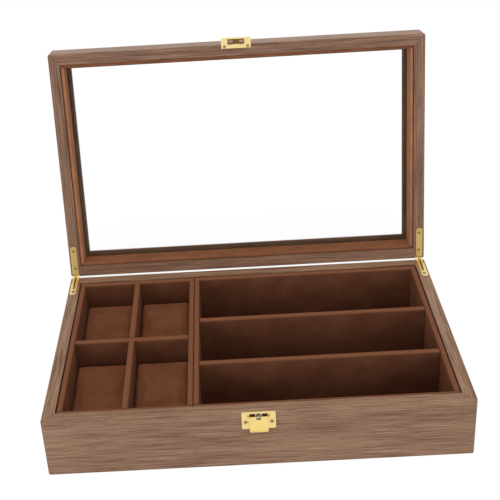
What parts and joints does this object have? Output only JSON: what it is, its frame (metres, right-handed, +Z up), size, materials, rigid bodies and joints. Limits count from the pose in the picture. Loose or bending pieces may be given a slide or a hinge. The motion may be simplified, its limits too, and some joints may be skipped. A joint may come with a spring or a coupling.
{
  "type": "watch and jewelry box",
  "caption": "Flat hinged wooden box with a window lid, watch cells with soft pillows and long compartments for glasses, closed by a front snap latch.",
  "frame": {"origin": "centre of the underside, where the box stands", "axes": "+X to the box's right along its width, +Y to the hinged back, +Z up"},
  "size_m": [0.35, 0.2859, 0.2805],
  "materials": {
    "walnut": "satin walnut veneer",
    "suede": "brown suede cloth",
    "brass": "polished pale brass plate",
    "steel": "bright steel",
    "glass": "clear sheet"
  },
  "bodies": {
    "base": {"case_front": "walnut", "case_back": "walnut", "case_left": "walnut", "case_right": "walnut", "case_bottom": "walnut", "watch_tray_floor": "suede", "watch_tray_wall_front": "suede", "watch_tray_wall_back": "suede", "watch_tray_wall_left": "suede", "watch_tray_wall_right": "suede", "glasses_tray_floor": "suede", "glasses_tray_wall_front": "suede", "glasses_tray_wall_back": "suede", "glasses_tray_wall_left": "suede", "glasses_tray_wall_right": "suede", "watch_divider_lengthwise": "suede", "watch_divider_crosswise": "suede", "glasses_divider_front": "suede", "glasses_divider_rear": "suede", "hinge_left_base_leaf": "brass", "hinge_right_base_leaf": "brass", "hinge_left_base_screw": "brass", "hinge_right_base_screw": "brass", "hinge_left_pin": "steel", "hinge_right_pin": "steel", "latch_pin": "steel", "latch_plate": "brass", "latch_spring": "steel", "latch_screw_left": "steel", "latch_screw_right": "steel"},
    "lid": {"lid_rail_front": "walnut", "lid_rail_back": "walnut", "lid_rail_left": "walnut", "lid_rail_right": "walnut", "lid_liner_front": "suede", "lid_liner_back": "suede", "lid_liner_left": "suede", "lid_liner_right": "suede", "lid_glass": "glass", "hinge_left_lid_leaf": "brass", "hinge_right_lid_leaf": "brass", "hinge_left_lid_screw_1": "brass", "hinge_left_lid_screw_2": "brass", "hinge_right_lid_screw_1": "brass", "hinge_right_lid_screw_2": "brass", "lid_catch": "brass", "catch_screw_left": "brass", "catch_screw_right": "brass"},
    "latch_flap": {"latch_flap": "brass"},
    "watch_pillow_front_left": {"watch_pillow_front_left": "suede"},
    "watch_pillow_front_right": {"watch_pillow_front_right": "suede"},
    "watch_pillow_rear_left": {"watch_pillow_rear_left": "suede"},
    "watch_pillow_rear_right": {"watch_pillow_rear_right": "suede"}
  },
  "joints": [
    {"name": "lid_hinge", "type": "hinge", "parent": "base", "child": "lid", "pos_m": [0, 0.1115, 0.0552], "axis": [-1, 0, 0], "range_deg": [-99, 0]},
    {"name": "latch_flap_hinge", "type": "hinge", "parent": "base", "child": "latch_flap", "pos_m": [0, -0.1131, 0.0503], "axis": [-1, 0, 0], "range_deg": [0, 70], "stiffness_Nm_per_rad": 0.002, "springref_deg": -20.05},
    {"name": "pillow_front_left_lift", "type": "slide", "parent": "base", "child": "watch_pillow_front_left", "axis": [0, 0, 1], "range_m": [0, 0.05]},
    {"name": "pillow_front_right_lift", "type": "slide", "parent": "base", "child": "watch_pillow_front_right", "axis": [0, 0, 1], "range_m": [0, 0.05]},
    {"name": "pillow_rear_left_lift", "type": "slide", "parent": "base", "child": "watch_pillow_rear_left", "axis": [0, 0, 1], "range_m": [0, 0.05]},
    {"name": "pillow_rear_right_lift", "type": "slide", "parent": "base", "child": "watch_pillow_rear_right", "axis": [0, 0, 1], "range_m": [0, 0.05]}
  ]
}
